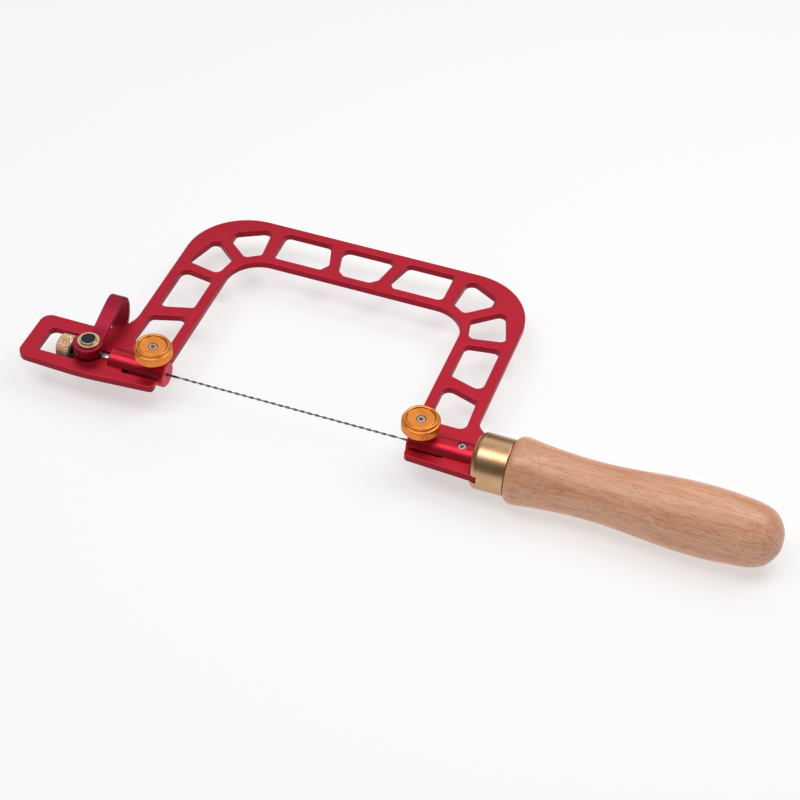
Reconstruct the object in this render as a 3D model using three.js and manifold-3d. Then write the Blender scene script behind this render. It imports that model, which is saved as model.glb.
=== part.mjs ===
// Coping saw with a machined plate frame, cam-lever blade tension and a turned handle.
// Millimetres. The saw lies flat: X runs along the blade towards the handle, Y towards
// the frame's back, Z is normal to the plate. The design is drawn about the blade axis
// (y = 0, z = 0 in the plate's middle) and about the middle of the throat (x = 0),
// and the whole group is moved at the end to the centre of its footprint.
import * as THREE from 'three';
import { mergeVertices } from 'three/addons/utils/BufferGeometryUtils.js';
import Module from 'manifold-3d';

const wasm = await Module();
wasm.setup();

// ---- driving dimensions -------------------------------------------------------------

const CLEARANCE = 0.05; // between parts that turn or slide in one another
const OVERCUT = 1; // how far a cutting tool runs past the face it opens

const PLATE = {
  thickness: 3.2, bevel: 0.3, armOuter: 77.65, armInner: 53.3, backOuter: 106.1, backInner: 79.8,
  outerCorner: 28, innerCorner: 15,
};
const TAIL = {
  left: -115.3, top: 14.8, bottomLeft: -12.0, bottomMiddle: -13.3, middle: -85.5, bow: 130,
  bottomRight: -10.9, corner: 4.6, armFillet: 14, tongueEnd: -53.9,
};
const NUT_WINDOW = { left: -108.5, right: -91.4, bottom: -6.6, top: 8.0 };
const NOSE = {
  tongueEnd: 54.8, tongueBottom: -9.7, shoulder: 82.6, shoulderTop: 12.6, armFoot: 17.2, end: 85.6,
  halfWidth: 11.2, tangEnd: 121, tangHalfWidth: 4,
};
const HOLDER_SLOT = { tensionHalf: 6.8, fixedHalf: 6.0, left: -69.8, right: 70.0 };
const ROD_SLOT = 2.4;

// The holders are round bars on the blade axis, sawn open where they straddle the plate.
const HOLDER = { r: 5.5, chamfer: 0.4, kerfHalf: 1.75 };
const TENSION_HOLDER = { left: -77.0, right: -51.8, kerfEnd: -67.3 };
const FIXED_HOLDER = { left: 54.2, right: 81.9, kerfStart: 67.6 };
const SET_SCREW = { x: 76.3, bottom: -4.6, top: 4.8 };

const BLADE = { r: 0.5, length: 130, middle: 1.0, boreR: 0.9, boreDepth: 15 };
const CLAMP_X = { tension: -57.6, fixed: 58.75 };
const CLAMP = {
  bottom: 5.75, neckR: 3.9, headBottom: 9.1, headTop: 14.95, headR: 7.93, screwR: 1.8,
  holeR: 1.85, screwTop: 13.9, screwBottom: 2.9, padBottom: 0.6, padR: 1.9,
};
// The head's turned steps: an outer edge, a groove, a raised bead and a shallow dish.
const HEAD = {
  edge: 0.5, shoulderDrop: 1.4, grooveR: 7.0, grooveDrop: 1.15, beadOuterR: 7.25, beadR: 6.7,
  beadInnerR: 6.0, ringR: 5.6, ringDrop: 0.75, dishDrop: 0.6,
};
const SOCKET = { acrossFlats: 2, depth: 2 };

const CAM_X = -87.2;
const CAM = {
  bottom: 2.5, top: 7.0, bevel: 0.25, lift: 6.5, lead: 1.23, flankFrom: 128, flankTo: 192,
  boreR: 4.2,
};
const LEVER = { left: -1.4, right: 5.2, thickness: 1.9, rootFrom: 1, rootTo: 7.6, rootBottom: 5.2 };
// Centreline of the thumb strip: distance from the pivot, height above the plate's middle.
const LEVER_CURVE = [[-2, 6.0], [3, 6.3], [8, 7.4], [13, 9.1], [18, 10.8], [21.8, 11.8],
  [24.4, 11.6], [26.7, 9.7], [27.8, 5.8], [27.3, 1.6], [26.0, -1.6], [24.3, -4.0],
  [22.6, -5.7]];
const BARREL = { r: 3.45, bottom: -3.6, top: 8.65, socketR: 3.05, socketDepth: 1.05 };
const CAP = { dishR: 1.6, top: 8.6, dishTop: 8.4, chamfer: 0.25 };
const BUSH = { bottom: 2.5, r: 4.15, flangeR: 4.85, flangeBottom: 7.05, top: 7.9, chamfer: 0.25 };
const THRUST = { bottom: 1.65, top: 2.4, r: 5.4 };
const CLIP = { bottom: -2.95, top: -2.35, innerR: 2.7, outerR: 4.6, gapHalf: 1.9, grooveR: 2.6 };
const ROD = { r: 2.0, left: -100.3, right: -70.5, chamfer: 0.4 };
const SADDLE = { r: 5.6, left: -94.4, seat: -93.75, right: -92.4, barHalf: 1.4 };
const NUT = { r: 5.7, left: -100.7, right: -94.45, chamfer: 0.6, edge: 0.3 };

const FERRULE = {
  front: 82.2, rear: 96.8, r: 11.65, frontR: 9.75, shoulderR: 11.1, chamfer: 2.4, edge: 0.3,
  wall: 1.2, capEnd: 88.0, slotEnd: 85.9,
};
const HANDLE = { spigotFront: 88.3, spigotR: 10.4, front: 97.1, tangBore: 4.6, boreEnd: 123.5 };
// Handle radius along its length: distance from the middle of the throat, radius.
const HANDLE_PROFILE = [[97.1, 12.0], [97.6, 12.7], [98.8, 13.5], [100.8, 13.9], [103.8, 13.55],
  [109.5, 12.85], [115.5, 12.35], [121.5, 12.0], [128.5, 11.82], [136.5, 11.95], [142.5, 12.3],
  [148.5, 12.8], [154.5, 13.35], [160.5, 13.85], [166.5, 14.2], [174, 14.35], [181.5, 14.2],
  [187.5, 13.75], [193.5, 13.15], [196.5, 12.65], [199.5, 11.7], [202.5, 9.8], [205, 6.6],
  [206.3, 3.6], [206.7, 0]];
const BELLY_R = 14.35;

// Footprint centre and lowest point of the whole saw, which become the origin.
const ORIGIN = {
  x: (TAIL.left + HANDLE_PROFILE[HANDLE_PROFILE.length - 1][0]) / 2,
  y: (PLATE.backOuter - BELLY_R) / 2,
  z: -BELLY_R,
};

// Facets round a turned part: large, ordinary and small ones.
const LARGE = 40;
const SEGMENTS = 32;
const SMALL = 20;

// ---- materials ----------------------------------------------------------------------

function metal(color, roughness, metalness = 1) {
  return new THREE.MeshStandardMaterial({ color, roughness, metalness });
}
const RED_ANODISED = metal(0xb02a3a, 0.42, 0.75);
const GOLD_ANODISED = metal(0xe08a34, 0.35, 0.85);
const STEEL = metal(0xb8bac0, 0.3);
const BLACK_STEEL = metal(0x1c1a1c, 0.5, 0.6);
const BRASS = metal(0xcfa873, 0.35);
const BLADE_STEEL = metal(0x55565a, 0.4);
const BEECH = metal(0xd8a788, 0.6, 0);
const BLACK_NYLON = metal(0x161416, 0.6, 0);

// ---- helpers ------------------------------------------------------------------------

/** Closed solid from a three.js geometry, ready for booleans. */
function solid(geometry) {
  const g = geometry.index ? geometry.toNonIndexed() : geometry.clone();
  g.deleteAttribute('normal');
  g.deleteAttribute('uv');
  const merged = mergeVertices(g, 1e-4);
  return new wasm.Manifold(new wasm.Mesh({
    numProp: 3,
    vertProperties: new Float32Array(merged.attributes.position.array),
    triVerts: new Uint32Array(merged.index.array),
  }));
}

/** Mesh geometry from a solid. */
function geometryOf(body) {
  const mesh = body.getMesh();
  const g = new THREE.BufferGeometry();
  g.setAttribute('position', new THREE.BufferAttribute(new Float32Array(mesh.vertProperties), 3));
  g.setIndex(new THREE.BufferAttribute(new Uint32Array(mesh.triVerts), 1));
  g.computeVertexNormals();
  return g;
}

/** Cylinder along X between two stations. */
function rodX(r, x0, x1, segments = SEGMENTS) {
  const g = new THREE.CylinderGeometry(r, r, x1 - x0, segments);
  g.rotateZ(-Math.PI / 2);
  g.translate((x0 + x1) / 2, 0, 0);
  return g;
}

/** Cylinder along Z at (x, y) between two heights. */
function rodZ(r, x, y, z0, z1, segments = SEGMENTS) {
  const g = new THREE.CylinderGeometry(r, r, z1 - z0, segments);
  g.rotateX(Math.PI / 2);
  g.translate(x, y, (z0 + z1) / 2);
  return g;
}

function box(x0, x1, y0, y1, z0, z1) {
  const g = new THREE.BoxGeometry(x1 - x0, y1 - y0, z1 - z0);
  g.translate((x0 + x1) / 2, (y0 + y1) / 2, (z0 + z1) / 2);
  return g;
}

/** Solid of revolution about X. The profile is [station, radius] pairs. */
function latheX(profile, segments = SEGMENTS) {
  const points = profile.map(([x, r]) => new THREE.Vector2(r, x));
  const g = new THREE.LatheGeometry(points, segments);
  g.rotateZ(-Math.PI / 2);
  return g;
}

/** Solid of revolution about Z at x. The profile is [radius, height] pairs. */
function latheZ(profile, x, segments = SEGMENTS) {
  const g = new THREE.LatheGeometry(profile.map(([r, z]) => new THREE.Vector2(r, z)), segments);
  g.rotateX(Math.PI / 2);
  g.translate(x, 0, 0);
  return g;
}

/** Regular hexagonal prism along Z, for a socket. */
function hexZ(acrossFlats, x, z0, z1) {
  return rodZ(acrossFlats / Math.sqrt(3), x, 0, z0, z1, 6);
}

// Straight pieces in an arc for each radian it turns, more for a larger radius.
const ARC_STEPS = { base: 1.5, perMm: 0.2 };

/** Points of a closed outline whose corners [x, y, radius] are rounded by arcs. */
function roundedOutline(corners) {
  const points = [];
  corners.forEach(([x, y, radius = 0], i) => {
    const corner = new THREE.Vector2(x, y);
    if (radius === 0) {
      points.push(corner);
      return;
    }
    const before = new THREE.Vector2(...corners[(i + corners.length - 1) % corners.length]);
    const after = new THREE.Vector2(...corners[(i + 1) % corners.length]);
    const a = before.sub(corner).normalize();
    const b = after.sub(corner).normalize();
    const half = Math.acos(THREE.MathUtils.clamp(a.dot(b), -1, 1)) / 2;
    const centre = a.clone().add(b).normalize().multiplyScalar(radius / Math.sin(half)).add(corner);
    const start = a.clone().multiplyScalar(radius / Math.tan(half)).add(corner).sub(centre);
    const end = b.clone().multiplyScalar(radius / Math.tan(half)).add(corner).sub(centre);
    const turn = Math.atan2(start.cross(end), start.dot(end));
    const steps = Math.max(2, Math.ceil(Math.abs(turn) * (ARC_STEPS.base + ARC_STEPS.perMm * radius)));
    for (let k = 0; k <= steps; k += 1) {
      points.push(start.clone().rotateAround(new THREE.Vector2(), (turn * k) / steps).add(centre));
    }
  });
  return points;
}

function mirrored(corners) {
  return corners.map(([x, y, radius]) => [-x, y, radius]).reverse();
}

const saw = new THREE.Group();
saw.position.set(-ORIGIN.x, -ORIGIN.y, -ORIGIN.z);

function add(name, geometry, material, parent = saw) {
  const mesh = new THREE.Mesh(geometry, material);
  mesh.name = name;
  parent.add(mesh);
  return mesh;
}

// ---- frame plate --------------------------------------------------------------------

/** One side of the cross hole for the cam barrel, between the rod slot's two edges. */
function barrelArc(side) {
  const r = BARREL.r + CLEARANCE;
  const open = Math.asin(ROD_SLOT / r);
  const steps = 6;
  const points = [];
  for (let k = 0; k <= steps; k += 1) {
    const angle = open + ((Math.PI - 2 * open) * k) / steps;
    points.push([CAM_X + r * Math.cos(angle), side * r * Math.sin(angle)]);
  }
  return side > 0 ? points : points.reverse();
}

/** The plate's closed outline, which runs through the throat and both blade-axis slots. */
function plateOutline() {
  const { armOuter, armInner, backOuter, backInner, outerCorner, innerCorner } = PLATE;
  const { tensionHalf, fixedHalf } = HOLDER_SLOT;
  return roundedOutline([
    [-armInner, backInner, innerCorner],
    [-armInner, tensionHalf, 0.8],
    [HOLDER_SLOT.left, tensionHalf, 1],
    [HOLDER_SLOT.left, ROD_SLOT],
    ...barrelArc(1),
    [NUT_WINDOW.right, ROD_SLOT],
    [NUT_WINDOW.right, NUT_WINDOW.top, 1.5],
    [NUT_WINDOW.left, NUT_WINDOW.top, 2.6],
    [NUT_WINDOW.left, NUT_WINDOW.bottom, 1.2],
    [NUT_WINDOW.right, NUT_WINDOW.bottom, 1.2],
    [NUT_WINDOW.right, -ROD_SLOT],
    ...barrelArc(-1),
    [HOLDER_SLOT.left, -ROD_SLOT],
    [HOLDER_SLOT.left, -tensionHalf, 1],
    [TAIL.tongueEnd, -tensionHalf, 0.8],
    [TAIL.tongueEnd, TAIL.bottomRight, 1.8],
    [TAIL.middle, TAIL.bottomMiddle, TAIL.bow],
    [TAIL.left, TAIL.bottomLeft, TAIL.corner],
    [TAIL.left, TAIL.top, TAIL.corner],
    [-armOuter, TAIL.top, TAIL.armFillet],
    [-armOuter, backOuter, outerCorner],
    [armOuter, backOuter, outerCorner],
    [armOuter, NOSE.armFoot, 7],
    [NOSE.shoulder, NOSE.shoulderTop, 0.8],
    [NOSE.shoulder, NOSE.halfWidth],
    [NOSE.end, NOSE.halfWidth, 0.6],
    [NOSE.end, NOSE.tangHalfWidth, 1],
    [NOSE.tangEnd, NOSE.tangHalfWidth, 2],
    [NOSE.tangEnd, -NOSE.tangHalfWidth, 2],
    [NOSE.end, -NOSE.tangHalfWidth, 1],
    [NOSE.end, -NOSE.halfWidth, 0.6],
    [FERRULE.front, -NOSE.halfWidth, 8],
    [NOSE.tongueEnd, NOSE.tongueBottom, 2],
    [NOSE.tongueEnd, -fixedHalf, 0.8],
    [HOLDER_SLOT.right, -fixedHalf, 1.4],
    [HOLDER_SLOT.right, fixedHalf, 1.4],
    [armInner, fixedHalf, 0.8],
    [armInner, backInner, innerCorner],
  ]);
}

// Corners [x, y, radius] of the lightening windows of the right half; the left mirrors them.
const SIDE_WINDOWS = [
  [[57.8, 12.3, 2.5], [73.7, 12.3, 3.2], [73.0, 30.0, 2.2], [57.8, 34.9, 3.2]],
  [[57.9, 40.7, 1.6], [72.9, 36.2, 3], [72.9, 63.4, 3], [57.9, 61.0, 2.6]],
  [[57.4, 65.2, 3], [73.4, 68.4, 2.4], [67.5, 87.2, 2.6], [55.0, 76.7, 1.8]],
  [[44.5, 83.9, 1.2], [50.9, 79.7, 2.4], [60.8, 88.0, 2.6], [60.8, 94.2, 1.8], [46.3, 102.3, 3.2]],
  [[16.9, 84.0, 1.2], [39.5, 84.0, 2.6], [39.5, 101.8, 2.2], [18.3, 101.8, 2.6], [14.3, 88.2, 1.2]],
];
const MIDDLE_WINDOW = [[-6.1, 83.7, 2], [6.1, 83.7, 2], [9.3, 86.6, 2], [12.6, 101.8, 3.4],
  [-12.6, 101.8, 3.4], [-9.3, 86.6, 2]];

function framePlate() {
  const shape = new THREE.Shape(plateOutline());
  const windows = [MIDDLE_WINDOW, ...SIDE_WINDOWS, ...SIDE_WINDOWS.map(mirrored)];
  shape.holes = windows.map((corners) => new THREE.Path(roundedOutline(corners)));
  shape.holes.push(new THREE.Path().absarc(SET_SCREW.x, 0, CLAMP.holeR, 0, 2 * Math.PI));
  const g = new THREE.ExtrudeGeometry(shape, {
    depth: PLATE.thickness - 2 * PLATE.bevel,
    bevelThickness: PLATE.bevel,
    bevelSize: PLATE.bevel,
    bevelOffset: -PLATE.bevel,
    bevelSegments: 1,
    curveSegments: 10,
  });
  g.translate(0, 0, PLATE.bevel - PLATE.thickness / 2);
  return geometryOf(solid(g));
}
add('frame_plate', framePlate(), RED_ANODISED);

// ---- blade holders ------------------------------------------------------------------

/** Sawn kerf that lets a round bar straddle the plate. */
function kerf(x0, x1) {
  return solid(box(x0, x1, -FERRULE.r - OVERCUT, FERRULE.r + OVERCUT, -HOLDER.kerfHalf,
    HOLDER.kerfHalf));
}

/** Round bar that holds a blade end. Inward is +1 where the blade lies towards +X. */
function holder({ left, right }, bladeFace, inward, clampX) {
  const { r, chamfer } = HOLDER;
  const mouth = bladeFace + inward * OVERCUT;
  const boreEnd = bladeFace - inward * BLADE.boreDepth;
  const bar = latheX([[left, 0], [left, r - chamfer], [left + chamfer, r],
    [right - chamfer, r], [right, r - chamfer], [right, 0]]);
  return solid(bar)
    .subtract(solid(rodX(BLADE.boreR, Math.min(mouth, boreEnd), Math.max(mouth, boreEnd), SMALL)))
    .subtract(solid(rodZ(CLAMP.padR + 2 * CLEARANCE, clampX, 0, 0, r + OVERCUT, SMALL)));
}

const tensionHolder = holder(TENSION_HOLDER, TENSION_HOLDER.right, 1, CLAMP_X.tension)
  .subtract(kerf(TENSION_HOLDER.left - OVERCUT, TENSION_HOLDER.kerfEnd))
  .subtract(solid(rodX(ROD.r + CLEARANCE, TENSION_HOLDER.left - OVERCUT, ROD.right + 0.5, SMALL)));
add('tension_holder', geometryOf(tensionHolder), RED_ANODISED);

const fixedHolder = holder(FIXED_HOLDER, FIXED_HOLDER.left, -1, CLAMP_X.fixed)
  .subtract(kerf(FIXED_HOLDER.kerfStart, FIXED_HOLDER.right + OVERCUT))
  .subtract(solid(rodZ(CLAMP.holeR, SET_SCREW.x, 0, -HOLDER.r - OVERCUT, HOLDER.r + OVERCUT,
    SMALL)));
add('fixed_holder', geometryOf(fixedHolder), RED_ANODISED);

/** Grub screw with a hexagon socket in its top. */
function grubScrew(x, bottom, top) {
  const { screwR } = CLAMP;
  const point = 0.4;
  const rim = 0.25;
  const body = latheZ([[0, bottom], [screwR - point, bottom], [screwR, bottom + point],
    [screwR, top - rim], [screwR - rim, top], [0, top]], x, SMALL);
  const socket = hexZ(SOCKET.acrossFlats, x, top - SOCKET.depth, top + OVERCUT);
  return geometryOf(solid(body).subtract(solid(socket)));
}
add('holder_set_screw', grubScrew(SET_SCREW.x, SET_SCREW.bottom, SET_SCREW.top), STEEL);

// ---- blade --------------------------------------------------------------------------

add('blade', rodX(BLADE.r, BLADE.middle - BLADE.length / 2, BLADE.middle + BLADE.length / 2, 12),
  BLADE_STEEL);

// ---- clamp knobs --------------------------------------------------------------------

/** Thumb knob: a neck under a round head whose top is dished inside a raised bead. */
function clampKnob(x) {
  const { bottom, neckR, headBottom, headTop, headR, holeR } = CLAMP;
  const {
    edge, shoulderDrop, grooveR, grooveDrop, beadOuterR, beadR, beadInnerR, ringR, ringDrop,
    dishDrop,
  } = HEAD;
  const bore = holeR + CLEARANCE;
  const bead = 0.3;
  const profile = [[bore, bottom], [neckR, bottom], [neckR, headBottom],
    [headR - edge, headBottom], [headR, headBottom + edge], [headR, headTop - shoulderDrop - bead],
    [headR - bead, headTop - shoulderDrop], [grooveR, headTop - grooveDrop],
    [beadOuterR, headTop - bead], [beadR, headTop], [beadInnerR, headTop - bead / 2],
    [ringR, headTop - ringDrop], [ringR - bead, headTop - dishDrop], [bore, headTop - dishDrop],
    [bore, bottom]];
  return latheZ(profile, x, SEGMENTS);
}

for (const [side, x] of Object.entries(CLAMP_X)) {
  add(`${side}_clamp_knob`, clampKnob(x), GOLD_ANODISED);
  add(`${side}_clamp_screw`, grubScrew(x, CLAMP.screwBottom, CLAMP.screwTop), STEEL);
  add(`${side}_clamp_pad`,
    rodZ(CLAMP.padR, x, 0, CLAMP.padBottom, CLAMP.screwBottom - CLEARANCE, SMALL), BRASS);
}

// ---- cam lever ----------------------------------------------------------------------

/** Cam outline about its pivot. The rising flank has a constant lead for a flat follower. */
function camOutline() {
  const points = [];
  const flankFrom = THREE.MathUtils.degToRad(CAM.flankFrom);
  const flankTo = THREE.MathUtils.degToRad(CAM.flankTo);
  const flankSteps = 12;
  for (let k = 0; k <= flankSteps; k += 1) {
    const angle = flankFrom + ((flankTo - flankFrom) * k) / flankSteps;
    const reach = CAM.lift - CAM.lead * (Math.PI - angle);
    points.push(new THREE.Vector2(
      reach * Math.cos(angle) - CAM.lead * Math.sin(angle),
      reach * Math.sin(angle) + CAM.lead * Math.cos(angle),
    ));
  }
  // The rest of the outline eases from the flank's far end back to its start.
  const last = points[points.length - 1];
  const from = { r: last.length(), angle: Math.atan2(last.y, last.x) + 2 * Math.PI };
  const to = { r: points[0].length(), angle: Math.atan2(points[0].y, points[0].x) + 2 * Math.PI };
  const easeSteps = 24;
  for (let k = 1; k < easeSteps; k += 1) {
    const t = k / easeSteps;
    const angle = from.angle + (to.angle - from.angle) * t;
    const ease = (1 - Math.cos(Math.PI * t)) / 2;
    const r = from.r + (to.r - from.r) * ease;
    points.push(new THREE.Vector2(r * Math.cos(angle), r * Math.sin(angle)));
  }
  return points;
}

/** The thumb strip: it rises from the hub and hooks down past the tail's edge. */
function leverStrip() {
  const centreline = new THREE.CatmullRomCurve3(
    LEVER_CURVE.map(([y, z]) => new THREE.Vector3(0, y, z)),
  );
  const half = LEVER.thickness / 2;
  const steps = 28;
  const upper = [];
  const lower = [];
  for (let k = 0; k <= steps; k += 1) {
    const point = centreline.getPointAt(k / steps);
    const tangent = centreline.getTangentAt(k / steps);
    upper.push(new THREE.Vector2(point.y - tangent.z * half, point.z + tangent.y * half));
    lower.push(new THREE.Vector2(point.y + tangent.z * half, point.z - tangent.y * half));
  }
  const shape = new THREE.Shape([...upper, ...lower.reverse()]);
  const g = new THREE.ExtrudeGeometry(shape, {
    depth: LEVER.right - LEVER.left,
    bevelEnabled: false,
  });
  // Drawn in (y, z): turn the extrusion direction onto X.
  g.applyMatrix4(new THREE.Matrix4().makeBasis(new THREE.Vector3(0, 1, 0),
    new THREE.Vector3(0, 0, 1), new THREE.Vector3(1, 0, 0)));
  g.translate(LEVER.left, 0, 0);
  return g;
}

function camLever() {
  const hub = new THREE.ExtrudeGeometry(new THREE.Shape(camOutline()), {
    depth: CAM.top - CAM.bottom - 2 * CAM.bevel,
    bevelThickness: CAM.bevel,
    bevelSize: CAM.bevel,
    bevelOffset: -CAM.bevel,
    bevelSegments: 1,
  });
  hub.translate(0, 0, CAM.bottom + CAM.bevel);
  const root = box(LEVER.left, LEVER.right, LEVER.rootFrom, LEVER.rootTo, LEVER.rootBottom,
    CAM.top - CAM.bevel);
  const above = CAM.top + BARREL.r;
  return solid(hub)
    .add(solid(root))
    .add(solid(leverStrip()))
    .subtract(solid(rodZ(CAM.boreR, 0, 0, 0, above)))
    .subtract(solid(rodZ(BUSH.flangeR + 2 * CLEARANCE, 0, 0, CAM.top, above)));
}

// The cam group's origin is the pivot, on the blade axis.
const cam = new THREE.Group();
cam.position.set(CAM_X, 0, 0);
saw.add(cam);
add('cam_lever', geometryOf(camLever()), RED_ANODISED, cam);

function camBush() {
  const { bottom, r, flangeR, flangeBottom, top, chamfer } = BUSH;
  const bore = BARREL.r + CLEARANCE;
  return latheZ([[bore, bottom], [r, bottom], [r, flangeBottom], [flangeR, flangeBottom],
    [flangeR, top - chamfer], [flangeR - chamfer, top], [bore, top], [bore, bottom]], 0);
}
add('cam_bush', camBush(), BRASS, cam);

/** Ring of rectangular section about Z, such as a washer or a groove's cutter. */
function ringZ(inner, outer, bottom, top, segments) {
  return solid(latheZ([[inner, bottom], [outer, bottom], [outer, top], [inner, top],
    [inner, bottom]], 0, segments));
}

/** The pivot: the tension rod runs through it, and a snap ring holds it under the plate. */
function camBarrel() {
  const { r, bottom, top, socketR, socketDepth } = BARREL;
  const foot = 0.3;
  const rim = 0.15;
  const body = latheZ([[0, bottom], [r - foot, bottom], [r, bottom + foot], [r, top - rim],
    [r - rim, top], [socketR, top], [socketR, top - socketDepth], [0, top - socketDepth]], 0);
  return solid(body)
    .subtract(solid(rodX(ROD.r + 2 * CLEARANCE, -r - OVERCUT, r + OVERCUT, SMALL)))
    .subtract(ringZ(CLIP.grooveR, r + OVERCUT, CLIP.bottom - CLEARANCE, CLIP.top + CLEARANCE,
      SEGMENTS));
}
add('cam_barrel', geometryOf(camBarrel()), STEEL, cam);

function camCap() {
  const floor = BARREL.top - BARREL.socketDepth + CLEARANCE;
  const r = BARREL.socketR - CLEARANCE;
  return latheZ([[0, floor], [r, floor], [r, CAP.dishTop], [r - CAP.chamfer, CAP.top],
    [CAP.dishR, CAP.dishTop + CLEARANCE], [0, CAP.dishTop]], 0);
}
add('cam_cap', camCap(), BLACK_STEEL, cam);

/** Thrust washer under the hub, relieved underneath where the rod stands above the plate. */
function camWasher() {
  return ringZ(BARREL.r + 2 * CLEARANCE, THRUST.r, THRUST.bottom, THRUST.top, SEGMENTS)
    .subtract(solid(rodX(ROD.r + 2 * CLEARANCE, -THRUST.r - OVERCUT, THRUST.r + OVERCUT, SMALL)));
}
add('cam_washer', geometryOf(camWasher()), BLACK_NYLON, cam);

/** Snap ring in the barrel's groove, open on one side. */
function barrelClip() {
  const { innerR, outerR, bottom, top, gapHalf } = CLIP;
  return ringZ(innerR, outerR, bottom, top, SMALL).subtract(solid(
    box(-gapHalf, gapHalf, -outerR - OVERCUT, 0, bottom - OVERCUT, top + OVERCUT),
  ));
}
add('barrel_clip', geometryOf(barrelClip()), BLACK_STEEL, cam);

// ---- tension rod, saddle and nut ----------------------------------------------------

add('tension_rod', latheX([[ROD.left, 0], [ROD.left, ROD.r - ROD.chamfer],
  [ROD.left + ROD.chamfer, ROD.r], [ROD.right, ROD.r], [ROD.right, 0]], SMALL), STEEL);

/** A disc for the nut with a thicker bar across it, which slides inside the plate's window. */
function saddleWasher() {
  const { r, left, seat, right, barHalf } = SADDLE;
  return solid(rodX(r, left, right))
    .subtract(solid(box(seat, right + OVERCUT, -r - OVERCUT, r + OVERCUT, barHalf, r + OVERCUT)))
    .subtract(solid(box(seat, right + OVERCUT, -r - OVERCUT, r + OVERCUT, -r - OVERCUT, -barHalf)))
    .subtract(solid(rodX(ROD.r + 2 * CLEARANCE, left - OVERCUT, right + OVERCUT, SMALL)));
}
add('saddle_washer', geometryOf(saddleWasher()), BLACK_NYLON);

function tensionNut() {
  const { r, left, right, chamfer, edge } = NUT;
  const bore = ROD.r + 2 * CLEARANCE;
  return latheX([[left, bore], [left, r - chamfer], [left + chamfer, r], [right - edge, r],
    [right, r - edge], [right, bore], [left, bore]], SEGMENTS);
}
add('tension_nut', tensionNut(), BRASS);

// ---- ferrule and handle -------------------------------------------------------------

/** Brass cap over the plate's nose, bored for the tang and open behind for the handle. */
function ferrule() {
  const { front, rear, r, frontR, shoulderR, chamfer, edge, wall, capEnd, slotEnd } = FERRULE;
  const shell = latheX([[front, 0], [front, frontR], [front + chamfer / 2, shoulderR],
    [front + chamfer, r], [rear - edge, r],
    [rear, r - edge], [rear, r - wall], [capEnd, r - wall], [capEnd, 0]], LARGE);
  return solid(shell)
    .subtract(kerf(front - OVERCUT, slotEnd))
    .subtract(solid(rodX(HANDLE.tangBore, front - OVERCUT, capEnd + OVERCUT, SMALL)));
}
add('ferrule', geometryOf(ferrule()), BRASS);

function handle() {
  const { spigotFront, spigotR, front, tangBore, boreEnd } = HANDLE;
  const curve = new THREE.SplineCurve(HANDLE_PROFILE.map(([x, r]) => new THREE.Vector2(x, r)));
  const steps = 30;
  const outside = curve.getPoints(steps).map((p) => [p.x, p.y]);
  return latheX([[boreEnd, 0], [boreEnd, tangBore], [spigotFront, tangBore],
    [spigotFront, spigotR], [front, spigotR], ...outside], LARGE);
}
add('handle', handle(), BEECH);

export default saw;
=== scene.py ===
"""Coping saw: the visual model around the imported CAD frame. Metres, same frame as the CAD.

Shapes are drawn in millimetres about the blade axis (y = 0, z = 0) and the middle of the
throat (x = 0), and point() turns such a place into the row frame.
"""
import math

import bmesh
import bpy
from mathutils import Matrix, Vector


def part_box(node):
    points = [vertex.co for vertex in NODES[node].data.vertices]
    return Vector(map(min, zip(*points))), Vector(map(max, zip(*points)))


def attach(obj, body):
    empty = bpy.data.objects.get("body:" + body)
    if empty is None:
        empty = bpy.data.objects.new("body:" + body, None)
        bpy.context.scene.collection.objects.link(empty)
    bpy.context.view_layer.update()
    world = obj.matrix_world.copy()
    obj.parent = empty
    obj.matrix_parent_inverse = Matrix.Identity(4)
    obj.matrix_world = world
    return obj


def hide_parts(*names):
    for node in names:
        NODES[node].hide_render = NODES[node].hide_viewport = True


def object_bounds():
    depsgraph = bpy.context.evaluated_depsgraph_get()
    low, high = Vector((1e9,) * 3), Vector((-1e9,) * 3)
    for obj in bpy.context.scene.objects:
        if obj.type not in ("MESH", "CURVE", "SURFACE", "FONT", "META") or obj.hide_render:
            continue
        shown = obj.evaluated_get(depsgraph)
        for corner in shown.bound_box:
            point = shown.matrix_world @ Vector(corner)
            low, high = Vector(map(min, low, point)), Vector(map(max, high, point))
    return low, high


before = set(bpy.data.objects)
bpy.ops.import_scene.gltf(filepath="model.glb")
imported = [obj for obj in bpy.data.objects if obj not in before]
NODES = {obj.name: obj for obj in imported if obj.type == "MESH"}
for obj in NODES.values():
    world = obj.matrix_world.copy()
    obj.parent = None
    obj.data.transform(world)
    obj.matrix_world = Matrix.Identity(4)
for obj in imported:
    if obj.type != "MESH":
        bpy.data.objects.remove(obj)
CAD_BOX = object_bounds()

MM = 0.001
TAU = 2 * math.pi

# ---- the design frame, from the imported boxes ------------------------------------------

TAIL_LEFT = -115.3
PLATE_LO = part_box("frame_plate")[0]
BLADE_LO, BLADE_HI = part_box("blade")
AXIS = (BLADE_LO + BLADE_HI) / 2
THROAT = Vector((PLATE_LO.x - TAIL_LEFT * MM, AXIS.y, AXIS.z))


def point(x, y, z):
    """A place drawn in millimetres, in the row frame."""
    return THROAT + Vector((x, y, z)) * MM


def extent(node):
    """Lowest and highest corner of a CAD node in the drawing's millimetres."""
    lo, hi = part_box(node)
    return (lo - THROAT) / MM, (hi - THROAT) / MM


def middle_x(node):
    """Where a CAD node's middle lies along the blade axis, in the drawing's millimetres."""
    return sum(corner.x for corner in extent(node)) / 2


# ---- mesh helpers -----------------------------------------------------------------------

SMOOTH_ANGLE = 40
WELD_DISTANCE = 1e-5
SAME_POINT = 1e-4
ON_AXIS = 1e-6


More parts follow.
